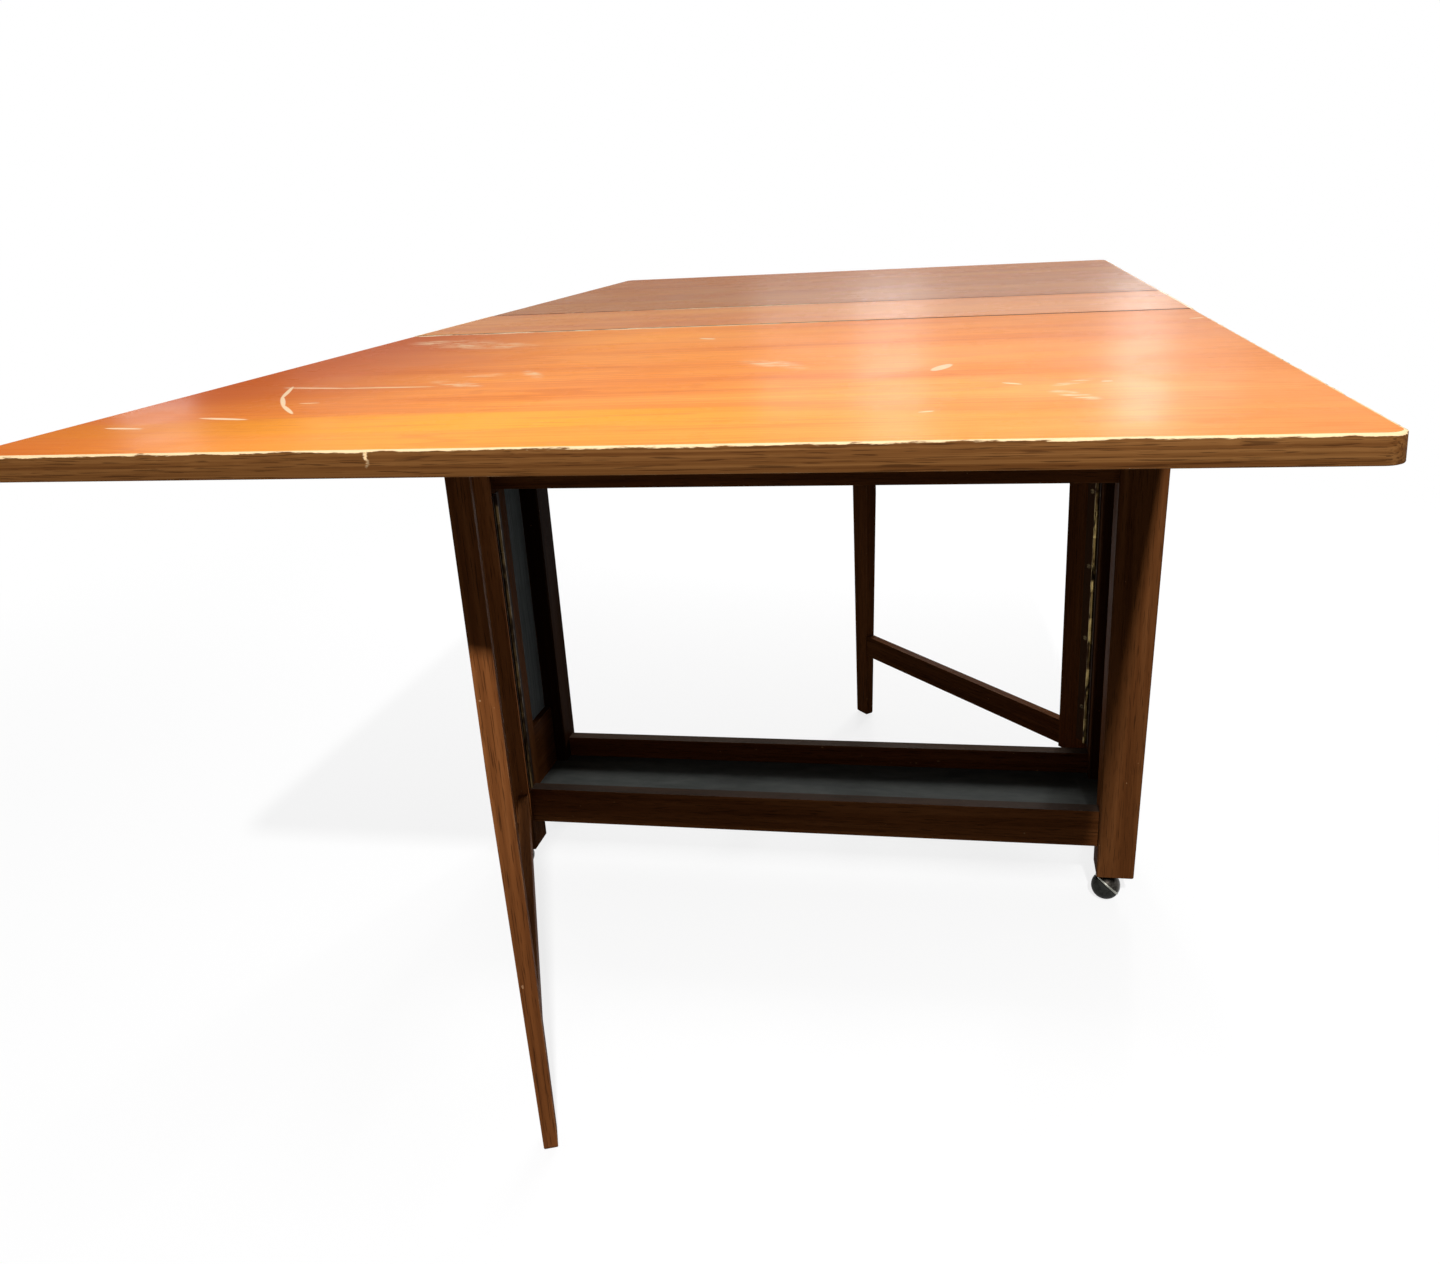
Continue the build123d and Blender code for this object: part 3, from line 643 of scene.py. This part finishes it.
def leafEdging(leaf):
    low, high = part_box(f"{leaf}_leaf_edging")
    outwards = -1.0 if leaf == "near" else 1.0
    outer, seam = (low.y, high.y) if leaf == "near" else (high.y, low.y)
    half, tiny = high.x, edging["tiny"]
    spare = seam - edging["spareWidths"] * outwards * edging["width"]

    def inside(spot):  # how far a point lies in from the outer outline, rounded corners included
        toSide = half - abs(spot.x)
        toFront = abs(outer - spot.y)
        radius = edging["cornerRadius"]
        if toSide < radius and toFront < radius:
            return radius - math.hypot(radius - toSide, radius - toFront)
        return min(toSide, toFront)

    bpy.ops.object.select_all(action="DESELECT")
    bpy.ops.mesh.primitive_plane_add(size=1.0, location=(0.0, (outer + spare) / 2, low.z))
    piece = bpy.context.object
    piece.name = f"{leaf}LeafWornEdging"
    piece.scale = (2.0 * half, abs(outer - spare), 1.0)
    bpy.ops.object.transform_apply(location=True, rotation=True, scale=True)
    pick(piece, "vertices", lambda spot: abs(spot.y - outer) < tiny)
    bpy.ops.mesh.bevel(offset=edging["cornerRadius"], segments=edging["cornerSteps"], affect="VERTICES")
    bpy.ops.mesh.select_all(action="SELECT")
    bpy.ops.mesh.delete(type="ONLY_FACE")
    backToObject()
    pick(piece, "edges", lambda spot: abs(spot.y - outer) < tiny)
    bpy.ops.mesh.subdivide(number_cuts=edging["frontCuts"])
    backToObject()
    for side in (-half, half):
        pick(piece, "edges", lambda spot: abs(spot.x - side) < tiny)
        bpy.ops.mesh.subdivide(number_cuts=edging["sideCuts"])
        backToObject()
    pick(piece, "edges", lambda spot: True)
    bpy.ops.mesh.edge_face_add()
    bpy.ops.mesh.inset(thickness=edging["width"])
    bpy.ops.mesh.delete(type="FACE")
    bpy.ops.mesh.select_all(action="SELECT")
    bpy.ops.mesh.bisect(plane_co=(0.0, seam, 0.0), plane_no=(0.0, -outwards, 0.0), clear_outer=True)
    bpy.ops.mesh.select_all(action="SELECT")
    bpy.ops.mesh.extrude_region_move(TRANSFORM_OT_translate={"value": (0.0, 0.0, high.z - low.z)})
    bpy.ops.mesh.select_all(action="SELECT")
    bpy.ops.mesh.normals_make_consistent(inside=False)
    backToObject()
    for level in (low.z, high.z):
        pick(piece, "edges", lambda spot: abs(spot.z - level) < tiny and inside(spot) < tiny)
        bpy.ops.mesh.bevel(offset=edging["arris"], segments=edging["arrisSteps"], affect="EDGES")
        backToObject()
    crack = None
    if leaf == "near":
        crack = (edging["crack"], edging["crackDepth"])
        crackEdging(piece, high.z, inside)

    worn = piece.vertex_groups.new(name="topArris")
    rubbedFrom = high.z - 2 * edging["arris"]
    top = [vertex.index for vertex in piece.data.vertices
           if vertex.co.z > rubbedFrom and inside(vertex.co) < edging["width"] / 2]
    worn.add(top, 1.0, "REPLACE")
    rub = bpy.data.textures.new(f"{leaf}EdgingRub", "CLOUDS")
    rub.noise_scale = edging["wearSize"]
    rub.noise_depth = edging["wearDetail"]
    wear = piece.modifiers.new("wear", "DISPLACE")
    wear.texture = rub
    wear.texture_coords = "LOCAL"
    wear.mid_level = 0.0
    wear.strength = -edging["wear"]
    wear.vertex_group = worn.name
    bpy.ops.object.modifier_apply(modifier=wear.name)
    bpy.ops.object.shade_smooth_by_angle(angle=math.radians(edging["smoothDeg"]))
    finish = edgingFinish(f"{leaf}EdgingWood", alongX, edging[f"{leaf}Seat"], crack)
    piece.data.materials.append(finish)
    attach(piece, f"{leaf}_leaf")
    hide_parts(f"{leaf}_leaf_edging")


for leaf in ("near", "far"):
    leafEdging(leaf)
print("leaf edging modelled")


# metal and castor wheels
metals = {
    "hingeBrass": {"clean": (0.42, 0.30, 0.11), "tarnish": (0.10, 0.065, 0.028), "rough": (0.36, 0.60)},
    "screwBrass": {"clean": (0.50, 0.37, 0.16), "tarnish": (0.12, 0.085, 0.040), "rough": (0.30, 0.55)},
    "stainedScrew": {"clean": (0.10, 0.070, 0.032), "tarnish": (0.035, 0.022, 0.012), "rough": (0.45, 0.65)},
    "pinSteel": {"clean": (0.50, 0.49, 0.47), "tarnish": (0.16, 0.13, 0.10), "rough": (0.28, 0.50)},
    "castorPlate": {"clean": (0.055, 0.050, 0.043), "tarnish": (0.014, 0.012, 0.010), "rough": (0.24, 0.45)},
    "castorRim": {"clean": (0.40, 0.40, 0.35), "tarnish": (0.17, 0.17, 0.145), "rough": (0.30, 0.48)},
}
tarnish = {
    "cloud": (0.012, 0.012, 0.012),
    "cloudShare": 0.7,
    "spot": (0.0022, 0.0022, 0.0022),
    "range": (0.40, 0.62),
    "arris": 0.0006,
    "rubbedOff": 0.6,
    "bump": (0.00015, 0.4),
}
longHinge = {  # the near gate's hinge is much darker than the far one
    "near": {"gate": {"clean": (0.055, 0.034, 0.013), "stain": (0.030, 0.014, 0.007)},
             "post": {"clean": (0.075, 0.048, 0.019), "stain": (0.024, 0.011, 0.006)}},
    "far": {"gate": {"clean": (0.17, 0.115, 0.040), "stain": (0.060, 0.025, 0.009)},
            "post": {"clean": (0.40, 0.29, 0.11), "stain": (0.024, 0.011, 0.006)}},
    "barrel": (0.0034, 0.0030),
    "alongPin": 1000.0,  # so large that only the distance from the pin's line counts
    "cloud": (0.006, 0.006, 0.020),
    "cloudRange": (0.36, 0.60),
    "roughness": (0.6, 0.36),
    "ior": 1.1,
    "bump": (0.0002, 0.4),
}
wheelRubber = {
    "dark": (0.011, 0.0115, 0.010),
    "light": (0.030, 0.031, 0.028),
    "stops": (0.35, 0.65),
    "scuff": (0.006, 0.006, 0.006),
    "dust": (0.085, 0.085, 0.078),
    "dustStrength": 0.5,
    "arris": 0.0012,
    "roughness": (0.3, 0.7, 0.38, 0.6),
    "ior": 1.15,
    "bump": (0.0002, 0.4),
}


def metalFinish(name, metal):
    made, tree = material(name)
    cloud = cloudy(tree, laidOut(tree, tarnish["cloud"]), detail=5.0, rough=0.65)
    spots = cloudy(tree, laidOut(tree, tarnish["spot"]), detail=2.0)
    darkening = between(tree, mixture(tree, cloud, spots, tarnish["cloudShare"]), *tarnish["range"])
    rubbed = times(tree, wornEdges(tree, tarnish["arris"]), tarnish["rubbedOff"])
    darkening = calc(tree, "SUBTRACT", darkening, rubbed, clamp=True)
    base = blendColour(tree, darkening, opaque(metal["clean"]), opaque(metal["tarnish"]))
    rough = between(tree, darkening, 0.0, 1.0, *metal["rough"])
    relief = bumped(tree, spots, *tarnish["bump"])
    shaded(tree, Base_Color=base, Metallic=1.0, Roughness=rough, Normal=relief)
    return made


def longHingeFinish(name, metal, pin):  # knuckles rubbed to brass, plates stained dark with the wood
    made, tree = material(name)
    look = longHinge
    away = laidOut(tree, (1.0, 1.0, look["alongPin"]), start=(pin[0], pin[1], 0.0))
    away = put(tree, "VectorMath", {0: away}, operation="LENGTH").outputs["Value"]
    cloud = cloudy(tree, laidOut(tree, look["cloud"]), detail=4.0, rough=0.65)
    rubbed = times(tree, between(tree, away, *look["barrel"]), between(tree, cloud, *look["cloudRange"]))
    base = blendColour(tree, rubbed, opaque(metal["stain"]), opaque(metal["clean"]))
    rough = between(tree, rubbed, 0.0, 1.0, *look["roughness"])
    relief = bumped(tree, cloud, *look["bump"])
    shaded(tree, Base_Color=base, Metallic=rubbed, Roughness=rough, IOR=look["ior"], Normal=relief)
    return made


def wheelFinish(name):
    made, tree = material(name)
    look = wheelRubber
    scuff = cloudy(tree, laidOut(tree, look["scuff"]), detail=5.0, rough=0.7)
    base = colours(tree, scuff, look["stops"], [opaque(look[key]) for key in ("dark", "light")])
    dust = times(tree, wornEdges(tree, look["arris"]), look["dustStrength"])
    base = blendColour(tree, dust, base, opaque(look["dust"]))
    rough = between(tree, scuff, *look["roughness"])
    relief = bumped(tree, scuff, *look["bump"])
    shaded(tree, Base_Color=base, Roughness=rough, IOR=look["ior"], Normal=relief)
    return made


finishOf = {name: metalFinish(name, metal) for name, metal in metals.items()}
finishOf["wheel"] = wheelFinish("castorWheelRubber")
for gate in ("near", "far"):
    pin = jointNamed[f"{gate}_gate_hinge"]["pos_m"]
    for half, metal in longHinge[gate].items():
        finish = longHingeFinish(f"{gate}{half.title()}HingeBrass", metal, pin)
        dress(f"{gate}_gate_hinge_{half}_plate", finish)
    dress(f"{gate}_leaf_hinge_plates", finishOf["hingeBrass"])
    dress(f"{gate}_leaf_hinge_screws", finishOf["screwBrass"])
    dress(f"{gate}_gate_hinge_screws", finishOf["stainedScrew"])
dress("leaf_hinge_fixed_plates", finishOf["hingeBrass"])
dress("post_hinge_screws", finishOf["stainedScrew"])
for screws in ("top_fixing_screws", "leaf_hinge_fixed_screws"):
    dress(screws, finishOf["screwBrass"])
for pins in ("gate_hinge_pins", "leaf_hinge_pins"):
    dress(pins, finishOf["pinSteel"])
for corner in posts:
    dress(f"{corner}_castor_hood", finishOf["castorPlate"])
    dress(f"{corner}_castor_axle", finishOf["pinSteel"])
    dress(f"{corner}_castor_wheel", finishOf["wheel"])
dress("castor_sockets", finishOf["castorPlate"])
print("metal and wheels done")


# rolled rim round the open edge of each castor hood
hoodRim = {
    "radius": 0.0173,
    "setBack": 0.0020,
    "bead": 0.0016,
    "flat": 0.75,
    "beadSides": 10,
    "steps": 72,
    "weld": 1.0e-6,
}


def castorRim(corner):
    spin = jointNamed[f"{corner}_wheel_spin"]
    centre, axle = Vector(spin["pos_m"]), Vector(spin["axis"]).normalized()
    middle = centre - hoodRim["setBack"] * axle
    side = axle.cross(Vector((0.0, 0.0, 1.0))).normalized()
    bpy.ops.object.select_all(action="DESELECT")
    bpy.ops.mesh.primitive_circle_add(vertices=hoodRim["beadSides"], radius=hoodRim["bead"])
    piece = bpy.context.object
    piece.name = f"{corner}CastorRim"
    turn = Matrix((hoodRim["flat"] * side, axle, side.cross(axle))).transposed().to_4x4()
    piece.matrix_world = Matrix.Translation(middle + hoodRim["radius"] * side) @ turn
    bpy.ops.object.transform_apply(location=True, rotation=True, scale=True)
    bpy.ops.object.mode_set(mode="EDIT")
    bpy.ops.mesh.select_all(action="SELECT")
    bpy.ops.mesh.spin(steps=hoodRim["steps"], angle=2.0 * math.pi, center=middle, axis=axle)
    bpy.ops.mesh.select_all(action="SELECT")
    bpy.ops.mesh.remove_doubles(threshold=hoodRim["weld"])
    bpy.ops.mesh.normals_make_consistent(inside=False)
    backToObject()
    bpy.ops.object.shade_smooth()
    piece.data.materials.append(finishOf["castorRim"])
    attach(piece, f"{corner}_castor")


for corner in posts:
    castorRim(corner)
print("castor rims modelled")


# studio: pale floor, white surround, a key lamp in front, and a bright wall and windows that the top reflects
studio = {
    "floorSize": 14.0,
    "floorColour": (0.95, 0.95, 0.95),
    "bounceColour": (0.16, 0.155, 0.15),
    "shadowShare": 0.20,
    "shadowReach": (1.1, 2.6),
    "ambient": (0.15, 0.15, 0.155),
    "white": (1.0, 1.0, 1.0),
    "lamps": {  # place, what it points at, width, height, power
        "key": ((0.60, -2.67, 2.42), (0.0, -0.35, 0.60), 0.09, 0.09, 118.0),
        "backWall": ((-0.37, 3.00, 1.575), (-0.10, -0.50, 0.735), 4.1, 0.65, 42.0),
        "backBright": ((0.26, 2.98, 1.575), (0.10, -0.50, 0.735), 1.72, 0.75, 29.0),
        "leftWindow": ((-0.085, 2.96, 1.71), (0.10, -0.50, 0.735), 0.24, 0.78, 16.0),
        "rightWindow": ((0.775, 2.96, 1.71), (0.30, -0.50, 0.735), 0.18, 0.78, 20.0),
        "sideWindow": ((-2.00, 1.49, 1.22), (-0.38, -0.62, 0.735), 0.19, 0.55, 3.0),
    },
}


def seenDirectly(tree):  # camera, glossy and transmission rays
    path = put(tree, "LightPath")
    seen = calc(tree, "ADD", path.outputs["Is Camera Ray"], path.outputs["Is Glossy Ray"])
    return calc(tree, "ADD", seen, path.outputs["Is Transmission Ray"], clamp=True)


def buildStudio():
    bpy.ops.object.select_all(action="DESELECT")
    bpy.ops.mesh.primitive_plane_add(size=studio["floorSize"])
    floor = bpy.context.object
    floor.name = "paleFloor"
    made, tree = material("paleFloorPaint")
    place = put(tree, "TexCoord").outputs["Object"]
    away = put(tree, "VectorMath", {0: place}, operation="LENGTH").outputs["Value"]
    share = between(tree, away, *studio["shadowReach"], studio["shadowShare"], 0.0)
    white = put(tree, "Emission", {"Color": opaque(studio["white"]), "Strength": 1.0}).outputs[0]
    lit = put(tree, "BsdfDiffuse", {"Color": opaque(studio["floorColour"])}).outputs[0]
    shown = put(tree, "MixShader", {0: share, 1: white, 2: lit}).outputs[0]
    plain = put(tree, "BsdfDiffuse", {"Color": opaque(studio["bounceColour"])}).outputs[0]
    whole = put(tree, "MixShader", {0: seenDirectly(tree), 1: plain, 2: shown}).outputs[0]
    put(tree, "OutputMaterial", {"Surface": whole})
    floor.data.materials.append(made)

    world = bpy.data.worlds.new("whiteSurround")
    world.use_nodes = True
    bpy.context.scene.world = world
    tree = world.node_tree
    tree.nodes.clear()
    ambient = put(tree, "Background", {0: opaque(studio["ambient"]), 1: 1.0}).outputs[0]
    surround = put(tree, "Background", {0: opaque(studio["white"]), 1: 1.0}).outputs[0]
    sky = put(tree, "MixShader", {0: seenDirectly(tree), 1: ambient, 2: surround}).outputs[0]
    put(tree, "OutputWorld", {"Surface": sky})

    for name, (place, aim, width, height, power) in studio["lamps"].items():
        bpy.ops.object.light_add(type="AREA", location=place)
        lamp = bpy.context.object
        lamp.name = f"{name}Lamp"
        lamp.data.shape = "RECTANGLE"
        lamp.data.size = width
        lamp.data.size_y = height
        lamp.data.energy = power
        lamp.rotation_euler = (Vector(aim) - Vector(place)).to_track_quat("-Z", "Y").to_euler()


# camera where the photograph was taken from
view = {
    "place": (0.2132, -1.4660, 0.8624),
    "headingDeg": 11.566,
    "tiltDeg": 20.326,
    "rollDeg": -3.176,
    "focalPixels": 1195.0,
    "centrePixel": (742.6, 645.3),
    "framePixels": (1440, 1264),
    "sensor": 36.0,
    "clipStart": 0.01,
}


def buildCamera():
    heading, tilt, roll = (math.radians(view[key]) for key in ("headingDeg", "tiltDeg", "rollDeg"))
    ahead = Vector((-math.sin(heading) * math.cos(tilt), math.cos(heading) * math.cos(tilt), -math.sin(tilt)))
    level = Vector((math.cos(heading), math.sin(heading), 0.0))
    rise = level.cross(ahead)
    across = math.cos(roll) * level + math.sin(roll) * rise
    up = across.cross(ahead)
    lens = bpy.data.cameras.new("photoCamera")
    width, height = view["framePixels"]
    lens.sensor_fit = "HORIZONTAL"
    lens.sensor_width = view["sensor"]
    lens.lens = view["focalPixels"] / width * view["sensor"]
    lens.shift_x = (width / 2 - view["centrePixel"][0]) / width
    lens.shift_y = (view["centrePixel"][1] - height / 2) / width
    lens.clip_start = view["clipStart"]
    holder = bpy.data.objects.new("photoCamera", lens)
    bpy.context.scene.collection.objects.link(holder)
    turn = Matrix((across, up, -ahead)).transposed().to_4x4()
    holder.matrix_world = Matrix.Translation(view["place"]) @ turn
    bpy.context.scene.camera = holder


buildStudio()
buildCamera()
bpy.context.scene.view_settings.view_transform = "Standard"
print("studio and camera set")
